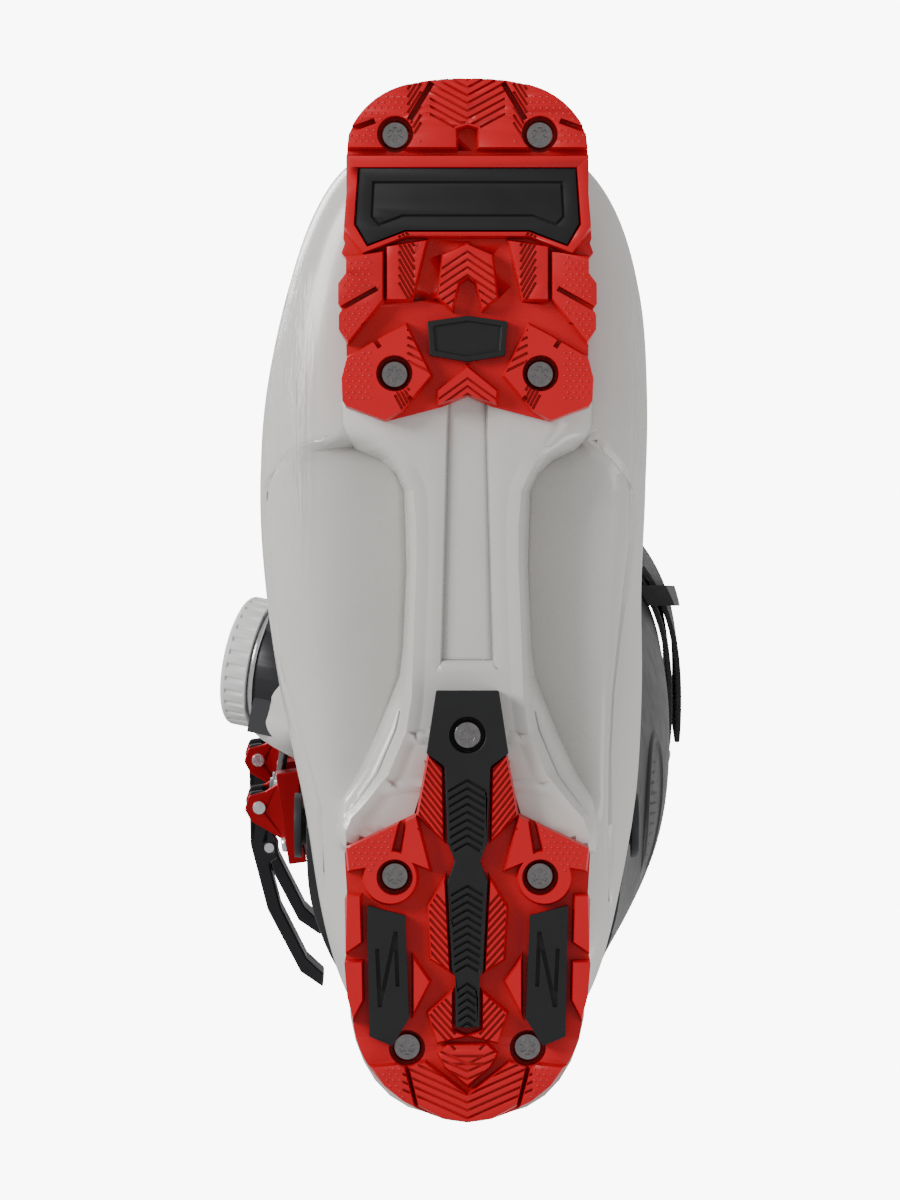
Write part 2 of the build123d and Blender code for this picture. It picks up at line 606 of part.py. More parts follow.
# ---------------------------------------------------------------- buckles
class Buckle:
    """Places one buckle on the cuff: local x forward, y up the cuff, z outward from the cuff."""

    def __init__(self, pivot, turn, lean):
        self.place = Pos(*pivot) * Rot(0, 0, turn) * Rot(0, lean, 0) * Rot(90, 0, 0)
        self.bail = self.place * Pos(-BAIL_OFFSET, 0, BAIL_DEPTH) * Rot(0, BAIL_TURN, 0)

    def put(self, shape):
        return self.place * shape

    def on_bail(self, shape):
        """Places a piece in the bail's frame: origin at its pin, x along the sleeve, z outward."""
        return self.bail * shape


LOWER_BUCKLE = Buckle((-66.0, -67.0, 186.0), -8.0, 8.0)
UPPER_BUCKLE = Buckle((-52.0, -69.0, 236.0), -8.0, 8.0)
EAR_THICKNESS = 1.6
RIVET_LENGTH = 3.8
FLANGE_TOP = -7.0
FLANGE_RIVETS = [(-12.5, -11.2), (4.5, 11.2)]


def base_profile_ear():
    """Triangular ear seen from above the buckle: it rises from the flange to the lever pivot."""
    foot = [(-18, -14), (10, -14), (4.8, -2.6), (4.2, 2.8), (0, 4.8), (-4.2, 3.2)]
    return foot


def buckle_base(buckle, clear_of):
    ears = Part()
    for side in (1, -1):
        face = Plane.XZ * Polygon(*base_profile_ear(), align=None)
        ear = extrude(face, EAR_THICKNESS / 2, both=True)
        ears += Pos(0, side * EAR_SPACING / 2, 0) * ear
    flange = Pos(-4, 0, -11.5) * Box(30, EAR_SPACING + 13, 9)
    flange = flange & Pos(-4, 0, -30) * Cylinder(27, 60)
    hollow = Pos(-4, 0, -4) * Box(60, EAR_SPACING - EAR_THICKNESS, 9.4)
    hollow += Pos(12, 0, -8) * Box(40, EAR_SPACING - EAR_THICKNESS, 24)
    bore = Rot(90, 0, 0) * Cylinder(RIVET_RADIUS + 0.05, 60)
    local = (ears + flange) - hollow - bore
    return largest(buckle.put(local) - clear_of - flange_holes(buckle))


def lever_profile():
    return [(5.0, -2.2), (5.0, 2.6), (-12, 4.6), (-34, 2.2), (-56, -5.5), (-LEVER_REACH, -12), (-58, -13),
            (-52, -8.2), (-34, -2.2), (-19, -0.6), (-17.5, -3.6), (-11, -3.6), (-6, -2.6)]


def buckle_lever(buckle):
    width = EAR_SPACING - EAR_THICKNESS - 0.6
    side = extrude(Plane.XZ * Polygon(*lever_profile(), align=None), width / 2, both=True)
    window = Pos(-8.2, 0, 0) * Box(30, width - 3.6, 20)
    bore = Rot(90, 0, 0) * Cylinder(RIVET_RADIUS + 0.05, 60)
    bail_bore = Pos(-BAIL_OFFSET, 0, BAIL_DEPTH) * Rot(90, 0, 0) * Cylinder(RIVET_RADIUS, 60)
    return buckle.put(side - window - bore - bail_bore)


def pivot_rivet(buckle):
    """Two short rivets on one axis, one through each ear, with domed heads."""
    up = (Align.CENTER, Align.CENTER, Align.MIN)
    ear_face = (EAR_SPACING + EAR_THICKNESS) / 2 + 0.05
    stub = Pos(0, 0, ear_face - RIVET_LENGTH) * Cylinder(RIVET_RADIUS, RIVET_LENGTH, align=up)
    dome = Pos(0, 0, ear_face) * (Sphere(2.4) & Cylinder(3, 1.4, align=up))
    rivet = stub + dome
    return buckle.put(Compound([Rot(-90, 0, 0) * rivet, Rot(90, 0, 0) * rivet]))


def flange_rivet(buckle, x, y, radius=1.5):
    """Rivet that holds the buckle's flange on the cuff."""
    shank = Pos(x, y, FLANGE_TOP) * Cylinder(radius, 12, align=(Align.CENTER, Align.CENTER, Align.MAX))
    head = Pos(x, y, FLANGE_TOP) * (Sphere(2.7) & Cylinder(3, 1.5, align=(Align.CENTER, Align.CENTER, Align.MIN)))
    return buckle.put(shank + head) - cuff_form(CUFF_WALL)


def flange_holes(buckle):
    holes = [Pos(x, y, FLANGE_TOP) * Cylinder(1.5, 40) for x, y in FLANGE_RIVETS]
    return buckle.put(Compound(holes))


def bail_pin(buckle):
    width = EAR_SPACING - EAR_THICKNESS - 0.6
    return buckle.put(Pos(-BAIL_OFFSET, 0, BAIL_DEPTH) * Rot(90, 0, 0) * Cylinder(RIVET_RADIUS - 0.0, width))


STEM_RADIUS = 1.5
SLEEVE_RADIUS = 2.5
SLEEVE_START, SLEEVE_END = 3.6, 24.0
HOOK_REACH = 58.0
HOOK_HALF_WIDTH = 5.0
RACK_WIDTH = 5.6               # narrow enough to leave air beside the hook's two wires
RACK_PITCH = 6.6
RACK_GAP = 4.4


def along(start, end, radius):
    """A round bar along the bail's x axis."""
    bar = Cylinder(radius, end - start, align=(Align.CENTER, Align.CENTER, Align.MIN))
    return Pos(start, 0, 0) * Rot(0, 90, 0) * bar


def bail_trunnion(buckle):
    barrel = Rot(90, 0, 0) * Cylinder(3.0, 6.4)
    bore = Rot(90, 0, 0) * Cylinder(RIVET_RADIUS + 0.05, 60)
    return buckle.on_bail(barrel + along(2.4, 9.0, STEM_RADIUS) - bore)


def adjuster_sleeve(buckle):
    tube = along(SLEEVE_START, SLEEVE_END, SLEEVE_RADIUS) + along(17.0, 22.0, SLEEVE_RADIUS + 0.5)
    return buckle.on_bail(tube - along(0, 40, STEM_RADIUS + 0.06))


def hook_wire(buckle):
    """Threaded stem with a rectangular wire hook that catches a tooth of the rack."""
    shoulder = 34.0
    wire = along(10.0, shoulder - 1, STEM_RADIUS) + Pos(shoulder, 0, 0) * Box(5, 2 * HOOK_HALF_WIDTH + 2, 3.4)
    for side in (1, -1):
        wire += Pos(0, side * HOOK_HALF_WIDTH, 0) * along(shoulder, HOOK_REACH, 1.0)
    wire += Pos(HOOK_REACH, 0, 0) * Rot(90, 0, 0) * Cylinder(1.0, 2 * HOOK_HALF_WIDTH + 2)
    return buckle.on_bail(wire)


def rack(buckle, clear_of):
    """Ladder with teeth on the front flap; the hook's end lies in one of its gaps."""
    plate = Pos(HOOK_REACH, 0, -9.0) * Box(5 * RACK_PITCH, RACK_WIDTH, 20.4)
    for step in range(-2, 3):
        plate -= Pos(HOOK_REACH + step * RACK_PITCH, 0, 1.4) * Box(RACK_GAP, 20, 6.8)
    return largest(buckle.on_bail(plate) - clear_of)


# ---------------------------------------------------------------- lace dial
DIAL_PLACE = Pos(*DIAL_CENTRE) * Rot(0, 0, DIAL_TURN * -1) * Rot(90 - DIAL_TILT, 0, 0)


def dial_housing(clear_of):
    body = Pos(0, 0, -8) * Cylinder(18.2, 16)
    body += Pos(0, 0, -9) * Box(42, 30, 14)
    cavity = Pos(0, 0, -4.5) * Cylinder(11.3, 9.4)
    axle = Pos(0, 0, -0.5) * Cylinder(2.5, 17)
    return largest(DIAL_PLACE * (body - cavity + axle) - clear_of)


def dial_trim():
    ring = Cylinder(18.9, 1.6) - Cylinder(18.3, 6)
    return DIAL_PLACE * Pos(0, 0, -0.95) * ring


def dial_spool():
    spool = Cylinder(10.8, 1.4, align=(Align.CENTER, Align.CENTER, Align.MIN))
    spool += Cylinder(7.5, 7.0, align=(Align.CENTER, Align.CENTER, Align.MIN))
    spool += Pos(0, 0, 5.6) * Cylinder(10.8, 1.4, align=(Align.CENTER, Align.CENTER, Align.MIN))
    bore = Cylinder(2.55, 30)
    return DIAL_PLACE * Pos(0, 0, -8.0) * (spool - bore)


def dial_pawl():
    disc = Cylinder(16.0, 1.8, align=(Align.CENTER, Align.CENTER, Align.MIN)) - Cylinder(2.6, 10)
    return DIAL_PLACE * Pos(0, 0, 0.5) * disc


def dial_knob():
    knob = Cylinder(DIAL_RADIUS, DIAL_THICKNESS, align=(Align.CENTER, Align.CENTER, Align.MIN))
    knob = fillet(knob.faces().sort_by(Axis.Z)[-1].edges(), 1.6)
    hollow = Pos(0, 0, -1) * Cylinder(17.0, 3.6, align=(Align.CENTER, Align.CENTER, Align.MIN))
    bore = Cylinder(2.8, 9.2, align=(Align.CENTER, Align.CENTER, Align.MIN))
    flutes = Part()
    for index in range(30):
        turn = 360 / 30 * index
        flutes += Rot(0, 0, turn) * Pos(DIAL_RADIUS + 0.35, 0, 3.6) * Cylinder(0.9, 6.0)
    bore = Pos(0, 0, -1.0) * bore
    return DIAL_PLACE * Pos(0, 0, 0.3) * (knob - hollow - bore - flutes)


# ---------------------------------------------------------------- strap
def strap_zone(grow=0.0):
    """Slab between the strap's lower and upper edges, which climb towards the rear."""
    rear, front = -160.0, 100.0
    climb = 24.0
    low = [(rear, STRAP_LOW + climb - grow), (front, STRAP_LOW - 6 - grow)]
    high = [(front, STRAP_HIGH - 6 + grow), (rear, STRAP_HIGH + climb + grow)]
    return side_prism(low + high, -120, 120)


def around_cuff(inner, outer):
    return cuff_form(-outer) - cuff_form(-inner)


def power_strap():
    band = around_cuff(GAP, GAP + STRAP_THICKNESS) & strap_zone()
    return largest(band - block(-160, -74, -70, 70, 200, 360))


def strap_tail():
    """Outer layer of the strap: it runs back along the medial side from the loop."""
    inner = GAP + STRAP_THICKNESS + 0.6
    band = around_cuff(inner, inner + STRAP_THICKNESS) & strap_zone()
    return largest(band & block(-58, 8, 20, 100, 200, 360))


def strap_loop():
    """Flat ring that both layers of the strap pass through on the medial side."""
    inside = 2 * (GAP + STRAP_THICKNESS) + 1.2
    ring = around_cuff(0.3, inside + 1.6) & strap_zone(3.2) & block(-2, 5, 20, 100, 200, 360)
    return largest(ring - (cuff_form(-inside) & strap_zone(0.6)))


# ---------------------------------------------------------------- build
def build_sole():
    badge_seat = raised(plan_face(with_mirror(BADGE_HALF)), LUG_HEIGHT + 0.4)
    toe = tread_plate(toe_outline(), toe_lugs(), toe_slits(), toe_grooves(), TOE_SCREWS)
    save(toe - pad_seat() - badge_seat, "toe_sole")
    save(toe_pad(), "toe_pad")
    save(badge(), "toe_badge")
    spine_seat = raised(plan_face(with_mirror(SPINE_HALF)), LUG_HEIGHT)
    side_seat = raised(both_sides(plan_face(SIDE_PAD)), LUG_HEIGHT)
    heel = tread_plate(heel_outline(), heel_lugs(), Sketch(), heel_grooves(), HEEL_SCREWS)
    save(heel - spine_seat - side_seat, "heel_sole")
    save(spine_plate(), "heel_spine_plate")
    save(side_pads(), "heel_side_pads")
    save(Compound([sole_screw(x, y, SCREW_HEAD_BASE + SCREW_HEAD_THICKNESS, INSERT_TOP - 1)
                   for x, y in TOE_SCREWS]), "toe_screws")
    heel_screws = [sole_screw(x, y, SCREW_HEAD_BASE + SCREW_HEAD_THICKNESS, INSERT_TOP - 1)
                   for x, y in HEEL_SCREWS]
    heel_screws.append(sole_screw(*SPINE_SCREW, 3.4, INSERT_TOP - 1))
    save(Compound(heel_screws), "heel_screws")
    save(Compound([insert(x, y) for x, y in TOE_SCREWS + HEEL_SCREWS + [SPINE_SCREW]]), "sole_inserts")


def build_foot():
    save(lower_shell(), "lower_shell")
    save(overlap_flap(), "shell_overlap")
    save(boot_board(), "boot_board")
    save(liner_foot(), "liner_foot")


def build_cuff():
    save(cuff(), "cuff")
    save(cuff_overlap(), "cuff_overlap")
    save(spoiler(), "spoiler")
    save(liner_collar(), "liner_collar")
    save(liner_tongue(), "liner_tongue")
    for side, name in ((-1, "lateral"), (1, "medial")):
        save(pivot_bush(side), f"pivot_bush_{name}")
        save(pivot_bolt(side), f"pivot_bolt_{name}")


def build_buckles():
    cuff_skin = cuff_form(-0.05)
    for name, buckle in (("lower", LOWER_BUCKLE), ("upper", UPPER_BUCKLE)):
        save(buckle_base(buckle, cuff_skin), f"buckle_base_{name}")
        save(buckle_lever(buckle), f"buckle_lever_{name}")
        save(pivot_rivet(buckle), f"lever_rivet_{name}")
        save(bail_pin(buckle), f"bail_pin_{name}")
        save(bail_trunnion(buckle), f"bail_trunnion_{name}")
        save(adjuster_sleeve(buckle), f"adjuster_sleeve_{name}")
        save(hook_wire(buckle), f"hook_{name}")
        save(rack(buckle, cuff_skin), f"rack_{name}")
        save(Compound([flange_rivet(buckle, x, y) for x, y in FLANGE_RIVETS]), f"base_rivets_{name}")


def build_dial():
    save(dial_housing(foot_form(-0.05)), "dial_housing")
    save(dial_trim(), "dial_trim")
    save(dial_spool(), "dial_spool")
    save(dial_pawl(), "dial_pawl")
    save(dial_knob(), "dial_knob")


def build_strap():
    save(power_strap(), "power_strap")
    save(strap_tail(), "strap_tail")
    save(strap_loop(), "strap_loop")


for build in (build_sole, build_foot, build_cuff, build_buckles, build_dial, build_strap):
    build()
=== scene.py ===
import json
from math import cos, pi, radians, sin

import bmesh
import bpy
import numpy as np
from mathutils import Matrix, Vector


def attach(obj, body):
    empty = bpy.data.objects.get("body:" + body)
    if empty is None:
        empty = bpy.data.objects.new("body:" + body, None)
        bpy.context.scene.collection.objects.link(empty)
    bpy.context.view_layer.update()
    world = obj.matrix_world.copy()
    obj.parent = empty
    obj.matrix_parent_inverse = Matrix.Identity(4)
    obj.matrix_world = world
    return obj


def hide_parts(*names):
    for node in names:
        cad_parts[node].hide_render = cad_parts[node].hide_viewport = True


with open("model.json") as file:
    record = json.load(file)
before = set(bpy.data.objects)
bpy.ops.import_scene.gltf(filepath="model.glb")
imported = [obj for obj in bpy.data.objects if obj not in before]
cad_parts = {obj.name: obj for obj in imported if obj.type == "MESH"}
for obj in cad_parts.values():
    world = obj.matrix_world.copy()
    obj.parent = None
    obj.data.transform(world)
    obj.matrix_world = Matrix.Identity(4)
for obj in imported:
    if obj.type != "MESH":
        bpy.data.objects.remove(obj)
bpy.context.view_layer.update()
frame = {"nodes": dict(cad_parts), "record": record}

MM = 0.001
NODES = frame["nodes"]


# ---------------------------------------------------------------- mesh helpers
def add_mesh(name, points, faces, body, slot, sharp_degrees=40):
    """A mesh piece from points in millimetres, shaded smooth below the given angle."""
    mesh = bpy.data.meshes.new(name)
    mesh.from_pydata([tuple(float(c) * MM for c in p) for p in points], [], faces)
    mesh.validate()
    tool = bmesh.new()
    tool.from_mesh(mesh)
    bmesh.ops.recalc_face_normals(tool, faces=tool.faces)
    tool.to_mesh(mesh)
    tool.free()
    mesh.polygons.foreach_set("use_smooth", [True] * len(mesh.polygons))
    mesh.set_sharp_from_angle(angle=radians(sharp_degrees))
    piece = bpy.data.objects.new(name, mesh)
    bpy.context.scene.collection.objects.link(piece)
    if body:
        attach(piece, body)
        piece.data.materials.append(MATERIALS[slot])
    return piece


def grid_faces(rows, columns, wrap_columns=False, wrap_rows=False):
    faces = []
    for row in range(rows if wrap_rows else rows - 1):
        for column in range(columns if wrap_columns else columns - 1):
            a = row * columns + column
            b = row * columns + (column + 1) % columns
            below = ((row + 1) % rows) * columns
            faces.append((a, b, below + (column + 1) % columns, below + column))
    return faces


def bevel(piece, width_mm, segments=2, degrees=35):
    modifier = piece.modifiers.new("edge", "BEVEL")
    modifier.width = width_mm * MM
    modifier.segments = segments
    modifier.limit_method = "ANGLE"
    modifier.angle_limit = radians(degrees)
    modifier.harden_normals = True
    modifier.miter_outer = "MITER_ARC"


def solidify(piece, thickness_mm, offset=-1.0):
    modifier = piece.modifiers.new("wall", "SOLIDIFY")
    modifier.thickness = thickness_mm * MM
    modifier.offset = offset
    modifier.use_even_offset = False


def smooth(low, high, value):
    share = np.clip((value - low) / (high - low), 0.0, 1.0)
    return share * share * (3 - 2 * share)


# ---------------------------------------------------------------- materials
class Graph:
    """Small helper around one material's node tree."""

    def __init__(self, name):
        self.material = bpy.data.materials.new(name)
        self.material.use_nodes = True
        self.tree = self.material.node_tree
        self.shader = self.tree.nodes["Principled BSDF"]
        self.place = self.add("ShaderNodeTexCoord").outputs["Object"]

    def add(self, kind, **settings):
        node = self.tree.nodes.new(kind)
        for key, value in settings.items():
            setattr(node, key, value)
        return node

    def link(self, source, target):
        self.tree.links.new(source, target)

    def noise(self, scale, detail=3.0, stretch=(1, 1, 1), roughness=0.55):
        mapping = self.add("ShaderNodeMapping")
        mapping.inputs["Scale"].default_value = stretch
        self.link(self.place, mapping.inputs["Vector"])
        node = self.add("ShaderNodeTexNoise")
        node.inputs["Scale"].default_value = scale
        node.inputs["Detail"].default_value = detail
        node.inputs["Roughness"].default_value = roughness
        self.link(mapping.outputs[0], node.inputs["Vector"])
        return node.outputs["Fac"]

    def ramp(self, source, stops):
        node = self.add("ShaderNodeValToRGB")
        while len(node.color_ramp.elements) < len(stops):
            node.color_ramp.elements.new(0.5)
        for element, (position, colour) in zip(node.color_ramp.elements, stops):
            element.position = position
            element.color = (*colour, 1)
        self.link(source, node.inputs["Fac"])
        return node.outputs["Color"]

    def spread(self, source, low, high):
        node = self.add("ShaderNodeMapRange")
        node.inputs["From Min"].default_value = 0.3
        node.inputs["From Max"].default_value = 0.7
        node.inputs["To Min"].default_value = low
        node.inputs["To Max"].default_value = high
        self.link(source, node.inputs["Value"])
        return node.outputs["Result"]

    def math(self, operation, first, second):
        node = self.add("ShaderNodeMath", operation=operation)
        for socket, value in zip(node.inputs, (first, second)):
            if isinstance(value, (int, float)):
                socket.default_value = value
            else:
                self.link(value, socket)
        return node.outputs[0]

    def bump(self, height, distance_mm, strength=1.0, under=None):
        node = self.add("ShaderNodeBump")
        node.inputs["Strength"].default_value = strength
        node.inputs["Distance"].default_value = distance_mm * MM
        self.link(height, node.inputs["Height"])
        if under is not None:
            self.link(under, node.inputs["Normal"])
        return node.outputs["Normal"]


def shade(tone, factor):
    return tuple(min(1.0, channel * factor) for channel in tone)


def moulded(name, tone, roughness, grain=2600, grain_mm=0.012, mottle=0.06, coat=0.0, metallic=0.0,
             shine=0.32):
    """Moulded or anodised surface: broad mottling, fine grain, uneven gloss."""
    graph = Graph(name)
    broad = graph.noise(38, 4)
    graph.link(graph.ramp(broad, [(0.3, shade(tone, 1 - mottle)), (0.7, shade(tone, 1 + mottle))]),
               graph.shader.inputs["Base Color"])
    graph.link(graph.spread(graph.noise(160, 5), roughness * 0.88, roughness * 1.14),
               graph.shader.inputs["Roughness"])
    graph.link(graph.bump(graph.noise(grain, 2), grain_mm), graph.shader.inputs["Normal"])
    graph.shader.inputs["Metallic"].default_value = metallic
    graph.shader.inputs["Specular IOR Level"].default_value = shine
    graph.shader.inputs["Coat Weight"].default_value = coat
    graph.shader.inputs["Coat Roughness"].default_value = 0.12
    return graph.material


def shell_material():
    """Glossy warm-white shell: fine lengthwise carving on the flanks of the forefoot."""
    tone = (0.57, 0.555, 0.53)
    graph = Graph("shell_white")
    graph.link(graph.ramp(graph.noise(24, 4), [(0.3, shade(tone, 0.965)), (0.7, shade(tone, 1.03))]),
               graph.shader.inputs["Base Color"])
    graph.link(graph.spread(graph.noise(90, 4), 0.23, 0.33), graph.shader.inputs["Roughness"])
    axes = graph.add("ShaderNodeSeparateXYZ")
    graph.link(graph.place, axes.inputs[0])
    side = graph.math("ABSOLUTE", axes.outputs["Y"], 0)

    def window(source, low, high):
        node = graph.add("ShaderNodeMapRange", interpolation_type="SMOOTHSTEP")
        node.inputs["From Min"].default_value = low
        node.inputs["From Max"].default_value = high
        graph.link(source, node.inputs["Value"])
        return node.outputs["Result"]

    flank = graph.math("MULTIPLY", window(side, 0.044, 0.051), window(axes.outputs["X"], -0.012, 0.040))
    flank = graph.math("MULTIPLY", flank, window(axes.outputs["X"], 0.118, 0.090))
    carved = graph.math("MULTIPLY", graph.noise(430, 3, stretch=(0.11, 1, 1)), flank)
    fine = graph.bump(graph.noise(900, 2), 0.01)
    graph.link(graph.bump(carved, 1.1, 1.0, fine), graph.shader.inputs["Normal"])
    graph.shader.inputs["Coat Weight"].default_value = 0.25
    graph.shader.inputs["Coat Roughness"].default_value = 0.1
    graph.shader.inputs["Subsurface Weight"].default_value = 0.08
    graph.shader.inputs["Subsurface Radius"].default_value = (0.004, 0.0035, 0.003)
    return graph.material


def woven(name, tone, thread_mm=0.9, depth_mm=0.25, sheen=0.3, roughness=0.85):
    """Plain weave with crossing threads, slightly fuzzy."""
    graph = Graph(name)
    axes = graph.add("ShaderNodeSeparateXYZ")
    graph.link(graph.place, axes.inputs[0])
    turn = 2 * pi / (thread_mm * MM)
    along = graph.math("ADD", axes.outputs["X"], axes.outputs["Y"])
    warp = graph.math("SINE", graph.math("MULTIPLY", along, turn), 0)
    weft = graph.math("SINE", graph.math("MULTIPLY", axes.outputs["Z"], turn), 0)
    weave = graph.math("MULTIPLY", warp, weft)
    fuzz = graph.noise(1500, 3)
    height = graph.math("ADD", graph.math("MULTIPLY", weave, 0.5), fuzz)
    graph.link(graph.ramp(height, [(0.2, shade(tone, 0.55)), (0.9, shade(tone, 1.5))]),
               graph.shader.inputs["Base Color"])
    graph.link(graph.bump(height, depth_mm), graph.shader.inputs["Normal"])
    graph.shader.inputs["Roughness"].default_value = roughness
    graph.shader.inputs["Sheen Weight"].default_value = sheen
    return graph.material


def brushed(name, tone, roughness, stretch=(1, 1, 12)):
    graph = Graph(name)
    lines = graph.noise(700, 3, stretch=stretch)
    graph.link(graph.ramp(lines, [(0.3, shade(tone, 0.82)), (0.7, shade(tone, 1.12))]),
               graph.shader.inputs["Base Color"])
    graph.link(graph.spread(lines, roughness * 0.8, roughness * 1.25), graph.shader.inputs["Roughness"])
    graph.link(graph.bump(lines, 0.01), graph.shader.inputs["Normal"])
    graph.shader.inputs["Metallic"].default_value = 1.0
    return graph.material


MATERIALS = {
    "shell_white": shell_material(),
    "sole_red": moulded("sole_red", (0.52, 0.002, 0.008), 0.40, grain_mm=0.008, mottle=0.05),
    "sole_black": moulded("sole_black", (0.0085, 0.0085, 0.0095), 0.52, grain_mm=0.016, mottle=0.14),
    "screw_steel": brushed("screw_steel", (0.26, 0.25, 0.25), 0.2),
    "insert_brass": brushed("insert_brass", (0.6, 0.43, 0.2), 0.35),
    "board_grey": moulded("board_grey", (0.12, 0.12, 0.125), 0.8, grain_mm=0.05),
    "liner_black": woven("liner_black", (0.022, 0.022, 0.025), 1.1),
    "liner_red": woven("liner_red", (0.42, 0.02, 0.015), 1.1),
    "cuff_charcoal": moulded("cuff_charcoal", (0.020, 0.020, 0.022), 0.38, grain_mm=0.02, mottle=0.12),
    "spoiler_black": moulded("spoiler_black", (0.022, 0.022, 0.025), 0.5, grain_mm=0.03, mottle=0.12),
    "bush_grey": moulded("bush_grey", (0.12, 0.12, 0.125), 0.4),
    "pivot_black": moulded("pivot_black", (0.03, 0.031, 0.035), 0.42, grain_mm=0.05, mottle=0.16),
    "dial_black": moulded("dial_black", (0.02, 0.02, 0.023), 0.4, grain_mm=0.02, mottle=0.12),
    "dial_white": moulded("dial_white", (0.66, 0.66, 0.655), 0.38, grain_mm=0.012, mottle=0.03),
    "trim_silver": brushed("trim_silver", (0.62, 0.62, 0.64), 0.22),
    "strap_webbing": woven("strap_webbing", (0.013, 0.013, 0.015), 1.3, 0.35),
    "strap_loop_black": moulded("strap_loop_black", (0.02, 0.02, 0.022), 0.45, grain_mm=0.03),
    "buckle_red": moulded("buckle_red", (0.42, 0.010, 0.016), 0.3, grain_mm=0.006, metallic=0.85,
                          mottle=0.08),
    "lever_black": moulded("lever_black", (0.022, 0.022, 0.025), 0.36, grain_mm=0.01, metallic=0.5,
                           mottle=0.1),
    "rivet_silver": brushed("rivet_silver", (0.72, 0.72, 0.75), 0.2),
    "wire_steel": brushed("wire_steel", (0.20, 0.19, 0.19), 0.32),
    "sleeve_grey": brushed("sleeve_grey", (0.20, 0.20, 0.215), 0.34),
    "rack_black": moulded("rack_black", (0.03, 0.03, 0.034), 0.4, grain_mm=0.01, metallic=0.5),
}
EDGE_WIDTH = {"toe_sole": 0.35, "heel_sole": 0.35, "toe_pad": 0.5, "heel_side_pads": 0.4,
              "heel_spine_plate": 0.35, "toe_badge": 0.3, "dial_knob": 0.25, "buckle_lever_lower": 1.0,
              "buckle_lever_upper": 1.0, "buckle_base_lower": 0.5, "buckle_base_upper": 0.5, "cuff": 0.9,
              "spoiler": 0.8}
SLOT_OF = {row["node"]: row["material_slot"] for row in frame["record"]["subparts"]}


def dress_frame():
    for node, piece in NODES.items():
        piece.data.materials.clear()
        piece.data.materials.append(MATERIALS[SLOT_OF[node]])
        weld = piece.modifiers.new("weld", "WELD")
        weld.merge_threshold = 0.00001
        bevel(piece, EDGE_WIDTH.get(node, 0.22))


dress_frame()


# ---------------------------------------------------------------- foot form (same sections as the frame)
# sole-side point (x, z), instep-side point (x, z), lateral and medial half-widths, squareness, bias
FAN = np.array([
    (134, 27, 131, 52, 22, 22, 2.4, 1.0),
    (129, 22, 124, 63, 35, 34, 2.6, 1.1),
    (115, 20, 108, 72, 44.5, 43.5, 2.8, 1.2),
    (92, 19.5, 84, 83, 52.5, 50, 2.8, 1.25),
    (62, 19.5, 54, 98, 58.5, 52, 2.8, 1.3),
    (32, 19.5, 28, 118, 60, 51.5, 2.8, 1.35),
    (2, 19.5, 8, 140, 58.5, 50.5, 2.8, 1.4),
    (-35, 19.5, -2, 160, 54.5, 51, 2.7, 1.4),
    (-78, 20, -8, 180, 48, 49.5, 2.6, 1.3),
    (-116, 22, -12, 196, 44, 45, 2.5, 1.2),
    (-136, 45, -14, 210, 41.5, 42.5, 2.4, 1.1),
    (-134, 80, -14, 222, 41.5, 42.5, 2.3, 1.05),
    (-128, 115, -12, 232, 42, 43, 2.3, 1.0),
    (-121, 150, -9, 242, 43, 45, 2.3, 1.0),
])


def fan_row(position):
    """One section's values at a fractional row number, by Catmull-Rom interpolation."""
    index = int(min(max(position, 0), len(FAN) - 1.000001))
    share = position - index
    p0, p1 = FAN[max(index - 1, 0)], FAN[index]
    p2, p3 = FAN[min(index + 1, len(FAN) - 1)], FAN[min(index + 2, len(FAN) - 1)]
    curve = 2 * p1 + (p2 - p0) * share + (2 * p0 - 5 * p1 + 4 * p2 - p3) * share**2
    return (curve + (3 * p1 - p0 - 3 * p2 + p3) * share**3) / 2


def underside_point(position, across_mm):
    """(x, z) of the plain underside at one distance from the middle, and the section's half-width."""
    bx, bz, tx, tz, lateral, medial, square, bias = fan_row(position)
    width = medial if across_mm > 0 else lateral
    across = min(abs(across_mm) / width, 1.0)
    along = (0.5 * (1 - (1 - across**square) ** (1 / square))) ** bias
    return bx + (tx - bx) * along, bz + (tz - bz) * along, width


def upper_points(position, count):
    """The section's instep side, from the medial edge over the top to the lateral edge."""
    bx, bz, tx, tz, lateral, medial, square, bias = fan_row(position)
    points = []
    for step in range(count + 1):
        turn = pi * step / count
        across = abs(cos(turn)) ** (2 / square) * (1 if cos(turn) > 0 else -1)
        along = (0.5 * (1 + abs(sin(turn)) ** (2 / square))) ** bias
        width = medial if across > 0 else lateral
        points.append((bx + (tx - bx) * along, across * width, bz + (tz - bz) * along))
    return points


# ---------------------------------------------------------------- arch relief
# (place along the boot, distance from the middle) of each line that shapes the arch, both in mm
BEAM_EDGE = [(62, 27), (56, 26), (49, 24.1), (41.3, 18.8), (32.5, 14.6), (22, 13.8), (11.5, 13.7),
             (-17.7, 14.8), (-29.4, 15.3), (-39, 16.8), (-51.8, 22.2), (-66.4, 32.9), (-71, 34.5)]
POCKET_WALL = [(52, 36), (46.6, 33), (43.7, 25.1), (38.8, 19.2), (33, 16.6), (9.6, 15.9), (-14.8, 17),
               (-23, 18.2), (-32.3, 22), (-52.8, 31), (-61.5, 35.6), (-71, 36.6)]
LATERAL_RIM = [(50, 37), (46.8, 45.5), (45.2, 48.4), (41.7, 52.4), (38.4, 54.8), (34, 56.2), (14.5, 57),
               (-4, 56.2), (-24.4, 52.4), (-44, 46.5), (-67.4, 40.3), (-96.6, 39.2), (-112, 38)]
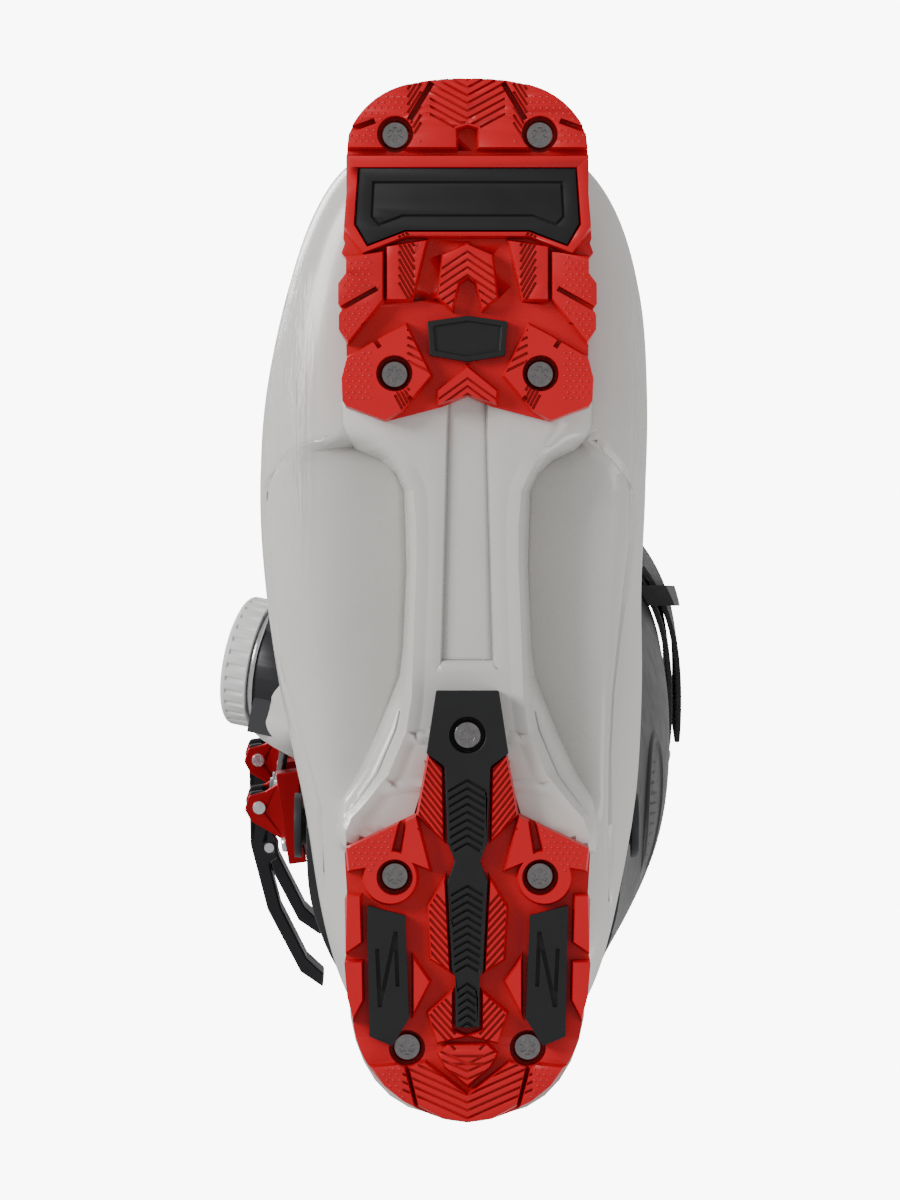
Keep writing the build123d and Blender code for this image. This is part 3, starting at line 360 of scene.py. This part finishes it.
MEDIAL_RIM = [(50, 35), (44, 38.6), (41.5, 41.2), (38.8, 43.2), (36, 44.7), (33, 45.4), (17.4, 45.2),
              (-4, 42.9), (-29.4, 40.4), (-48.9, 39.4), (-67.4, 39.2), (-96.6, 38.6), (-112, 37.4)]
TOE_PLATE_EDGE = [(0, 59.7), (7.4, 56.6), (24.3, 52.2), (35.7, 56.6)]
HEEL_PLATE_EDGE = [(0, -44.9), (11.7, -44.9), (15, -62.5), (35.5, -72.2)]
RIBS = [(-40.2, 0.22), (-53.4, 0.24)]       # (place at the middle of the rib, slope outwards)
BEAM_FACE = 9.2
CHANNEL_DEPTH = 2.2
CHANNEL_END = -18.5
POCKET_DEPTH = 11.0
GROOVE_DEPTH = 2.6
TOE_CROWN = 4.2             # how far the toe's end bulges past the first section
COLUMNS = [5, 2, 5, 2, 2, 3, 3, 3, 16, 3, 3, 12]     # grid steps between the lines below


def along_line(line, x):
    return float(np.interp(x, [row[0] for row in line][::-1], [row[1] for row in line][::-1]))


def across_line(line, side):
    return float(np.interp(side, [row[0] for row in line], [row[1] for row in line]))


def relief_lines(x, rim_line, width):
    """Distances from the middle of the lines that the grid's columns follow at one place."""
    channel = 7.1 + 0.026 * (56 - min(max(x, -25), 56))
    edge = max(along_line(BEAM_EDGE, x), channel + 3.5)
    wall = max(along_line(POCKET_WALL, x), edge + 1.5)
    rim = min(max(along_line(rim_line, x), wall + 2.5), width - 3.4)
    wall = min(wall, rim - 1.2)
    edge = min(edge, wall - 0.8)
    reach = wall - edge
    return [0, channel, channel + 0.5, edge - 2.0, edge, edge + 0.25 * reach, edge + 0.5 * reach,
            edge + 0.75 * reach, wall, rim, rim + 1.2, rim + 2.6, width]


def relief(x, lines, side, plain):
    """Height of the shell's underside at one point, from the plain form's height there."""
    _, channel, channel_top, bead, edge, slope_a, slope_b, slope_c, wall, rim, groove, lip, _ = lines
    free = smooth(along_toe(side) + 4.5, along_toe(side) + 1.5, x)
    free *= smooth(along_heel(side) - 4.5, along_heel(side) - 1.5, x)
    reach = float(smooth(50.5, 45.5, x) * smooth(-74, -50, x))
    deep = plain + POCKET_DEPTH * reach * float(smooth(-70, -22, x) * 0.55 + 0.45)
    if side <= edge:
        face = BEAM_FACE - 0.7 * float(smooth(bead, edge, side)) * float(smooth(44, 36, x))
        if side < channel_top and x > CHANNEL_END - 2:
            step = float(smooth(CHANNEL_END - 1.6, CHANNEL_END, x))
            face += CHANNEL_DEPTH * step * (1 - float(smooth(channel, channel_top, side)))
        for place, slope in RIBS:
            off = abs(x - place + slope * (side - 12))
            if side > 9 and x < -30:
                face -= 0.7 * float(smooth(0.95, 0.45, off) * smooth(edge - 0.6, edge - 2.4, side))
        return plain + (face - plain) * float(free)
    if side <= wall:
        share = (side - edge) / (wall - edge)
        face = BEAM_FACE + 0.2 + (deep - BEAM_FACE) * share**1.5
        heel_ridge = float(smooth(-26, -34, x) * smooth(-72, -62, x))
        if share < 0.5:
            face += 3.2 * heel_ridge * sin(pi * share / 0.5)
        else:
            face -= 2.6 * heel_ridge * sin(pi * (share - 0.5) / 0.5)
        return plain + (face - plain) * float(free)
    if side <= rim:
        share = (side - wall) / (rim - wall)
        return plain + (deep - plain) * (1 - share) ** 1.35 * (1 + 0.55 * share)
    if side <= lip:
        ends = float(smooth(49, 44, x) * smooth(-112, -100, x))
        if side <= groove:
            return plain + GROOVE_DEPTH * ends * float(smooth(rim, groove, side))
        return plain + GROOVE_DEPTH * ends * float(smooth(lip, groove, side))
    return plain


def along_toe(side):
    return across_line(TOE_PLATE_EDGE, side)


def along_heel(side):
    return across_line(HEEL_PLATE_EDGE, side)


def underside_half(position, rim_line, sign):
    start = fan_row(position)
    width = start[5] if sign > 0 else start[4]
    lines = relief_lines(start[0], rim_line, width)
    stops = [0.0]
    for (low, high), steps in zip(zip(lines, lines[1:]), COLUMNS):
        stops += [low + (high - low) * (step + 1) / steps for step in range(steps)]
    half = []
    for side in stops:
        x, z, _ = underside_point(position, sign * side)
        if -114 < start[0] < 68 and side < lines[-1]:
            z = relief(start[0], lines, side, z)
        half.append((x, sign * side, z))
    return half


def shell_ring(position, upper=64):
    medial = underside_half(position, MEDIAL_RIM, 1)
    lateral = underside_half(position, LATERAL_RIM, -1)
    return lateral[:0:-1] + medial + upper_points(position, upper)[1:-1]


def lower_shell():
    """Outer skin of the foot shell, from the rounded toe to the trimmed shaft."""
    spans = (np.linspace(0, 3, 42)[:-1], np.linspace(3, 9.2, 300)[:-1], np.linspace(9.2, 13, 42))
    stations = np.concatenate(spans)
    rings = [np.array(shell_ring(position)) for position in stations]
    centre = rings[0].mean(axis=0)
    nose = []
    for reach in np.linspace(0.04, 0.94, 14):
        ring = centre + (rings[0] - centre) * reach
        ring[:, 0] += TOE_CROWN * (1 - reach**2)
        nose.append(ring)
    rows = nose + rings
    columns = len(rings[0])
    points = np.concatenate(rows)
    faces = grid_faces(len(rows), columns, wrap_columns=True)
    faces.append(tuple(range(columns)))
    trim = [(-400, 134), (-128, 134), (-62, 188), (-30, 203), (400, 203)]
    above = points[:, 2] > np.interp(points[:, 0], [p[0] for p in trim], [p[1] for p in trim])
    throat_line = np.interp(points[:, 0], (-60, 40), (152, 96))
    throat = (np.abs(points[:, 1]) < 17) & (points[:, 2] > throat_line) & (points[:, 0] > -60)
    gone = above | throat
    faces = [face for face in faces if not any(gone[vertex] for vertex in face)]
    used = sorted({vertex for face in faces for vertex in face})
    renumber = {old: new for new, old in enumerate(used)}
    piece = add_mesh("lower_shell_skin", points[used], [tuple(renumber[v] for v in face) for face in faces],
                     "root", "shell_white", 46)
    solidify(piece, 2.4)
    return piece


def prism(name, outline, low, high, body, slot, edge):
    """A straight-sided plate from a plan outline, with softened edges."""
    count = len(outline)
    points = [(x, y, low) for x, y in outline] + [(x, y, high) for x, y in outline]
    faces = [tuple(range(count))[::-1], tuple(range(count, 2 * count))]
    faces += [(i, (i + 1) % count, count + (i + 1) % count, count + i) for i in range(count)]
    piece = add_mesh(name, points, faces, body, slot, 30)
    bevel(piece, edge, 3, 30)
    return piece


def mirrored(half):
    return half + [(x, -y) for x, y in half[::-1] if y]


def toe_ledge_outline():
    half = [(153.0 - 1.1 * (y / 16.0) ** 2, y) for y in np.linspace(0, 16, 9)]
    half += [(149.2, 22.0), (146.2, 27.0), (142.2, 31.0), (137, 33.9), (128, 34.8), (110, 35.2), (96, 35.4)]
    return mirrored([(x - 0.5, y) for x, y in half])


def heel_ledge_outline():
    half = [(-60, 16), (-72.6, 34.9), (-86, 35.2), (-104, 35.4), (-116, 34.9)]
    for angle in np.linspace(0, pi / 2, 9)[:-1]:
        half.append((-116 - 36.6 * sin(angle), 35.0 * cos(angle) ** 0.72))
    half.append((-152.6, 0.0))
    return mirrored(half[::-1])


shell_skin = lower_shell()
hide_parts("lower_shell")
prism("toe_ledge", toe_ledge_outline(), 18.1, 27.25, "root", "shell_white", 1.2)
prism("heel_ledge", heel_ledge_outline(), 18.1, 31.0, "root", "shell_white", 1.6)


# ---------------------------------------------------------------- leg form (same levels as the frame)
# height, rear, front, lateral and medial half-widths
LEG = np.array([
    (60, -141, -8, 47, 47),
    (105, -138, -4, 49.5, 49.5),
    (150, -132, 8, 51.5, 57),
    (200, -120, 17, 56, 66),
    (250, -107, 28, 58, 68),
    (300, -92, 39, 58, 68),
    (330, -84, 45, 58, 68),
])
ROUNDNESS = 0.84             # power that squares the ellipse of each level slightly


def leg_point(z, turn, inset=0.0):
    """Point of the cuff's outer form at a height; turn 0 is the front and turns towards the medial side."""
    rear, front, lateral, medial = [np.interp(z, LEG[:, 0], LEG[:, column]) for column in range(1, 5)]
    rear, front, lateral, medial = rear + inset, front - inset, lateral - inset, medial - inset
    x = (rear + front) / 2 + (front - rear) / 2 * abs(cos(turn)) ** ROUNDNESS * (1 if cos(turn) > 0 else -1)
    side = medial if sin(turn) > 0 else lateral
    return x, side * abs(sin(turn)) ** ROUNDNESS * (1 if sin(turn) > 0 else -1), z


# ---------------------------------------------------------------- liner
def liner_collar():
    """Quilted inner boot above the shell: a padded tube with a rolled brim and sewn rings."""
    rings, columns = 46, 120
    points = []
    for row in range(rings):
        share = row / (rings - 1)
        for column in range(columns):
            turn = 2 * pi * column / columns
            z = 172 + share * (300 - 172 + 15 * (0.5 - 0.5 * cos(turn)))
            swell = 0.9 * abs(sin(pi * share * 6)) ** 0.4
            brim = 2.2 * float(smooth(0.90, 1.0, share))
            points.append(leg_point(z, turn, 8.6 - swell + brim))
    faces = grid_faces(rings, columns, wrap_columns=True)
    gap = [face for face in faces if not throat_face(points, face)]
    piece = add_mesh("liner_collar_quilt", points, gap, "cuff", "liner_black", 60)
    solidify(piece, 6.5)
    bevel(piece, 2.0, 3, 60)
    return piece


def throat_face(points, face):
    middle = np.mean([points[vertex] for vertex in face], axis=0)
    return middle[0] > -20 and abs(middle[1]) < 15


def liner_tongue():
    """Padded tongue in the front of the leg opening, with sewn cross channels."""
    rows, columns = 60, 26
    points = []
    for row in range(rows):
        z = 180 + 134 * row / (rows - 1)
        for column in range(columns):
            share = -1 + 2 * column / (columns - 1)
            front = leg_point(z, 0, 0)[0]
            crown = 3.0 * (1 - abs(share) ** 2.5) * (0.72 + 0.28 * abs(sin(pi * row / 9)) ** 0.5)
            points.append((front - 16 + crown - 2.5 * share * share, 14.6 * share, z))
    piece = add_mesh("liner_tongue_pad", points, grid_faces(rows, columns), "cuff", "liner_red", 60)
    solidify(piece, 5.5)
    bevel(piece, 1.8, 3, 60)
    return piece


def liner_foot():
    """Soft bag that holds the foot inside the shell."""
    lower, upper, inset = 40, 36, 9.5
    rows = []
    for position in np.linspace(1.7, 9.3, 44):
        ring = np.array([underside_simple(position, inset, step, lower) for step in range(lower)]
                        + upper_points_inset(position, upper, inset))
        rows.append(ring)
    points = np.concatenate(rows)
    points[:, 2] = np.maximum(points[:, 2], 39.8)
    columns = lower + upper
    faces = grid_faces(len(rows), columns, wrap_columns=True)
    top = [face for face in faces if np.mean([points[vertex][2] for vertex in face]) < 152]
    piece = add_mesh("liner_foot_bag", points, top, "root", "liner_black", 60)
    solidify(piece, 5.0)
    return piece


def underside_simple(position, inset, step, count):
    share = -1 + 2 * step / count
    x, z, width = underside_point(position, share * 40)
    return x, share * (width - inset), z + inset


def upper_points_inset(position, count, inset):
    points = []
    for x, y, z in upper_points(position, count)[:-1]:
        _, _, _, _, lateral, medial, _, _ = fan_row(position)
        width = medial if y > 0 else lateral
        points.append((x, y * (width - inset) / width, z - inset * 0.8))
    return points


collar = liner_collar()
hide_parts("liner_collar")
tongue = liner_tongue()
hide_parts("liner_tongue")
bag = liner_foot()
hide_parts("liner_foot")


# ---------------------------------------------------------------- power strap
STRAP_OFFSET = 1.6
STRAP_CLOTH = 1.9
STRAP_TURNS = np.linspace(-1.93, 1.93, 190)
TAIL_OFFSET = 4.7
TAIL_TURNS = np.linspace(0.92, 1.72, 46)
CLOTH_START = 278.0           # height where the search for a strap point begins


def strap_middle(x):
    """Height of the strap's middle line at a place along the boot."""
    return 302.0 - 30.0 * (x + 160.0) / 260.0


def strap_band(name, turns, offset_mm, half_width, slot):
    rows, columns = 15, len(turns)
    points = []
    for row in range(rows):
        across = -1 + 2 * row / (rows - 1)
        for turn in turns:
            z = CLOTH_START
            for _ in range(3):
                x = leg_point(z, turn, -offset_mm)[0]
                z = strap_middle(x) + across * half_width
            roll = 0.5 * sin(5 * turn + 2 * across) * abs(across) ** 2 + 0.25 * sin(11 * turn)
            points.append(leg_point(z, turn, -offset_mm - 0.18 * roll))
    piece = add_mesh(name, points, grid_faces(rows, columns), "cuff", slot, 60)
    solidify(piece, STRAP_CLOTH, 0.0)
    bevel(piece, 0.5, 2, 50)
    return piece


strap = strap_band("power_strap_cloth", STRAP_TURNS, STRAP_OFFSET, 19.0, "strap_webbing")
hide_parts("power_strap")
tail = strap_band("strap_tail_cloth", TAIL_TURNS, TAIL_OFFSET, 18.6, "strap_webbing")
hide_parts("strap_tail")


# ---------------------------------------------------------------- fine detail
DOT_PITCH = 1.9
DOT_RADIUS = 0.5
TOE_ROCKER = (86.0, 420.0)
HEEL_ROCKER = (-128.0, 160.0)
DOTTED = {"toe_sole": [(59, 101, 28.5, 37.4), (131, 149, 14, 34.5)],
          "heel_sole": [(-79, -66, 21, 35.6), (-147, -135, 14, 27)]}      # x and y ranges with dotted lugs


def tread_height(x):
    """Height of the lug faces above the floor, which the rockers lift at both ends."""
    start, radius = TOE_ROCKER if x > 0 else HEEL_ROCKER
    beyond = max((x - start) * (1 if x > 0 else -1), 0)
    return radius - (radius**2 - beyond**2) ** 0.5


def on_lug(node, x, y):
    """True where a small patch of the plate round a point is a lug's flat face."""
    for dx, dy in ((0.8, 0), (-0.8, 0), (0, 0.8), (0, -0.8)):
        start = Vector(((x + dx) * MM, (y + dy) * MM, -0.02))
        hit, place, _, _ = NODES[node].ray_cast(start, Vector((0, 0, 1)))
        if not hit or abs(place.z / MM - tread_height(x + dx)) > 0.15:
            return False
    return True


def tread_dots():
    """Rows of small domes on the outer lug faces."""
    points, faces = [], []
    for node, zones in DOTTED.items():
        for x_low, x_high, y_low, y_high in zones:
            for row, x in enumerate(np.arange(x_low, x_high, DOT_PITCH * 0.866)):
                for y in np.arange(y_low + (row % 2) * DOT_PITCH / 2, y_high, DOT_PITCH):
                    if on_lug(node, x, y):
                        add_dome(points, faces, x, y, tread_height(x) + 0.05)
                        add_dome(points, faces, x, -y, tread_height(x) + 0.05)
    return add_mesh("tread_dots", points, faces, "root", "sole_red", 60)


def add_dome(points, faces, x, y, base):
    start = len(points)
    for radius, depth in ((DOT_RADIUS, 0.0), (DOT_RADIUS * 0.7, 0.2)):
        for step in range(8):
            turn = 2 * pi * step / 8
            points.append((x + radius * cos(turn), y + radius * sin(turn), base - depth))
    points.append((x, y, base - 0.28))
    for step in range(8):
        after = (step + 1) % 8
        faces.append((start + step, start + after, start + 8 + after, start + 8 + step))
        faces.append((start + 8 + step, start + 8 + after, start + 16))
    faces.append(tuple(start + step for step in range(8)))


tread_dots()

EMBLEM_CENTRE = (-66.0, 168.0)
EMBLEM_HALF = (25.0, 17.0)


def cuff_emblem():
    """Raised oval with a waffle pattern on the medial side of the cuff."""
    rings, columns = 26, 96
    points = []
    for row in range(rings):
        reach = row / (rings - 1)
        for column in range(columns):
            turn = 2 * pi * column / columns
            x = EMBLEM_CENTRE[0] + EMBLEM_HALF[0] * reach * cos(turn)
            z = EMBLEM_CENTRE[1] + EMBLEM_HALF[1] * reach * sin(turn) + 0.18 * (x - EMBLEM_CENTRE[0])
            waffle = 0.45 * max(sin(x * 1.9), 0) * max(sin(z * 1.9), 0) * float(smooth(0.74, 0.66, reach))
            rim = 0.9 * float(smooth(0.78, 0.84, reach) * smooth(1.0, 0.94, reach))
            lift = 0.3 + waffle + rim - 0.7 * float(smooth(0.94, 1.0, reach))
            points.append(on_cuff(x, z, lift))
    faces = grid_faces(rings, columns, wrap_columns=True)
    piece = add_mesh("cuff_emblem", points, faces, "cuff", "cuff_charcoal", 60)
    solidify(piece, 0.8)
    return piece


def on_cuff(x, z, lift, side=1):
    """Point on the cuff's outer face at a place and height, raised by lift."""
    rear, front, lateral, medial = [np.interp(z, LEG[:, 0], LEG[:, column]) for column in range(1, 5)]
    share = min(abs((x - (rear + front) / 2) / ((front - rear) / 2)), 1.0) ** (1 / ROUNDNESS)
    width = (medial if side > 0 else lateral) * (1 - share * share) ** (ROUNDNESS / 2)
    return x, side * (width + lift), z


cuff_emblem()

DIAL_CENTRE = (-20.0, -61.4, 92.0)
DIAL_PLACE = (Matrix.Translation(DIAL_CENTRE) @ Matrix.Rotation(radians(11), 4, "Z")
              @ Matrix.Rotation(radians(75), 4, "X"))


# half-length, half-width, height over the dial's plane and squareness of each ring of the cover
COVER_RINGS = [(27, 21, -17, 3.2), (24.6, 19.2, -9, 3.2), (23.0, 17.8, -4.4, 3.0), (22.0, 17.0, -2.4, 2.8),
               (20.8, 16.6, -1.5, 2.6), (18.3, 16.0, -1.5, 2.2)]


def dial_cover():
    """White moulded cover that leads from the shell's flank up to the dial's housing."""
    columns = 96
    points = []
    for half_x, half_y, height, power in COVER_RINGS:
        for column in range(columns):
            turn = 2 * pi * column / columns
            x = half_x * abs(cos(turn)) ** (2 / power) * (1 if cos(turn) > 0 else -1)
            y = half_y * abs(sin(turn)) ** (2 / power) * (1 if sin(turn) > 0 else -1)
            sunk = 6.5 * float(smooth(0.8, 0.45, abs(cos(turn))) * smooth(-17, -9, height))
            points.append(DIAL_PLACE @ Vector((x, y, height - sunk)))
    faces = grid_faces(len(COVER_RINGS), columns, wrap_columns=True)
    piece = add_mesh("dial_cover", points, faces, "root", "shell_white", 50)
    solidify(piece, 0.8)
    return piece


dial_cover()

RIVET_STEPS = 28
STRAP_RIVET_TURN = 1.84
RIVET_PROFILE = [(3.6, -0.6), (3.6, 0.5), (3.0, 1.1), (2.0, 1.5), (0.9, 1.65)]


def strap_rivet(name, z, turn, offset_mm):
    """Domed rivet through the strap's end into the cuff."""
    centre = np.array(leg_point(z, turn, -offset_mm))
    outward = np.array(leg_point(z, turn, -offset_mm - 1)) - centre
    outward /= np.linalg.norm(outward)
    up = np.array((0.0, 0.0, 1.0))
    across = np.cross(up, outward)
    points = []
    for radius, height in RIVET_PROFILE:
        for step in range(RIVET_STEPS):
            angle = 2 * pi * step / RIVET_STEPS
            points.append(centre + outward * height + across * radius * cos(angle) + up * radius * sin(angle))
    faces = grid_faces(len(RIVET_PROFILE), RIVET_STEPS, wrap_columns=True)
    last = (len(RIVET_PROFILE) - 1) * RIVET_STEPS
    faces.append(tuple(range(RIVET_STEPS)))
    faces.append(tuple(range(last, last + RIVET_STEPS)))
    add_mesh(name, points, faces, "cuff", "rivet_silver", 40)


for side in (1, -1):
    for level in (1, -1):
        x = leg_point(280, STRAP_RIVET_TURN, -2)[0]
        height = strap_middle(x) + 10 * level
        strap_rivet(f"strap_rivet_{side + 1}_{level + 1}", height, side * STRAP_RIVET_TURN, 2.4)


# ---------------------------------------------------------------- camera, lights, floor
def camera():
    distance = 1.65
    view_height = 0.3507
    data = bpy.data.cameras.new("camera")
    data.sensor_width = 36
    data.lens = 36 * distance / view_height
    data.clip_end = 20
    holder = bpy.data.objects.new("camera", data)
    bpy.context.scene.collection.objects.link(holder)
    holder.matrix_world = Matrix(((0, 1, 0, 0), (1, 0, 0, -0.0051), (0, 0, -1, -distance), (0, 0, 0, 1)))
    bpy.context.scene.camera = holder


def area_light(name, place, target, size, power, tint=(1, 1, 1)):
    data = bpy.data.lights.new(name, "AREA")
    data.size = size
    data.energy = power
    data.color = tint
    lamp = bpy.data.objects.new(name, data)
    bpy.context.scene.collection.objects.link(lamp)
    lamp.location = place
    lamp.rotation_euler = (Vector(target) - Vector(place)).to_track_quat("-Z", "Y").to_euler()
    data.use_shadow = True


def studio():
    area_light("key_below", (0.55, -1.25, -0.75), (0, 0, 0.05), 0.6, 24)
    area_light("fill_below", (-0.6, 1.3, -0.7), (0, 0, 0.05), 0.9, 9)
    area_light("key_above", (0.9, -1.2, 1.5), (0, 0, 0.12), 0.9, 26)
    area_light("fill_above", (-1.2, 1.0, 1.0), (0, 0, 0.12), 1.2, 12)
    world = bpy.data.worlds.new("studio")
    bpy.context.scene.world = world
    world.use_nodes = True
    tree = world.node_tree
    ground = tree.nodes["Background"]
    ground.inputs["Color"].default_value = (1, 1, 1, 1)
    ground.inputs["Strength"].default_value = 0.6
    bright = tree.nodes.new("ShaderNodeBackground")
    bright.inputs["Strength"].default_value = 9.0
    bright.inputs["Color"].default_value = (1, 1, 1, 1)
    rays = tree.nodes.new("ShaderNodeLightPath")
    mix = tree.nodes.new("ShaderNodeMixShader")
    tree.links.new(rays.outputs["Is Camera Ray"], mix.inputs["Fac"])
    tree.links.new(ground.outputs[0], mix.inputs[1])
    tree.links.new(bright.outputs[0], mix.inputs[2])
    tree.links.new(mix.outputs[0], tree.nodes["World Output"].inputs["Surface"])


def floor():
    """Pale floor under the boot; it can't be seen from beneath, and it blocks no light."""
    half, depth = 3.0, -0.0004
    corners = [(-half, -half, depth), (half, -half, depth), (half, half, depth), (-half, half, depth)]
    mesh = bpy.data.meshes.new("floor")
    mesh.from_pydata(corners, [], [(0, 1, 2, 3)])
    plane = bpy.data.objects.new("floor", mesh)
    bpy.context.scene.collection.objects.link(plane)
    graph = Graph("floor_pale")
    graph.link(graph.ramp(graph.noise(3, 2), [(0.3, (0.80, 0.80, 0.80)), (0.7, (0.84, 0.84, 0.84))]),
               graph.shader.inputs["Base Color"])
    graph.shader.inputs["Roughness"].default_value = 0.8
    graph.shader.inputs["Emission Color"].default_value = (1, 1, 1, 1)
    graph.shader.inputs["Emission Strength"].default_value = 0.35
    clear = graph.add("ShaderNodeBsdfTransparent")
    facing = graph.add("ShaderNodeNewGeometry").outputs["Backfacing"]
    mix = graph.add("ShaderNodeMixShader")
    graph.link(facing, mix.inputs["Fac"])
    graph.link(graph.shader.outputs[0], mix.inputs[1])
    graph.link(clear.outputs[0], mix.inputs[2])
    graph.link(mix.outputs[0], graph.tree.nodes["Material Output"].inputs["Surface"])
    plane.data.materials.append(graph.material)
    for ray in ("visible_diffuse", "visible_glossy", "visible_transmission", "visible_shadow"):
        setattr(plane, ray, False)


camera()
studio()
floor()
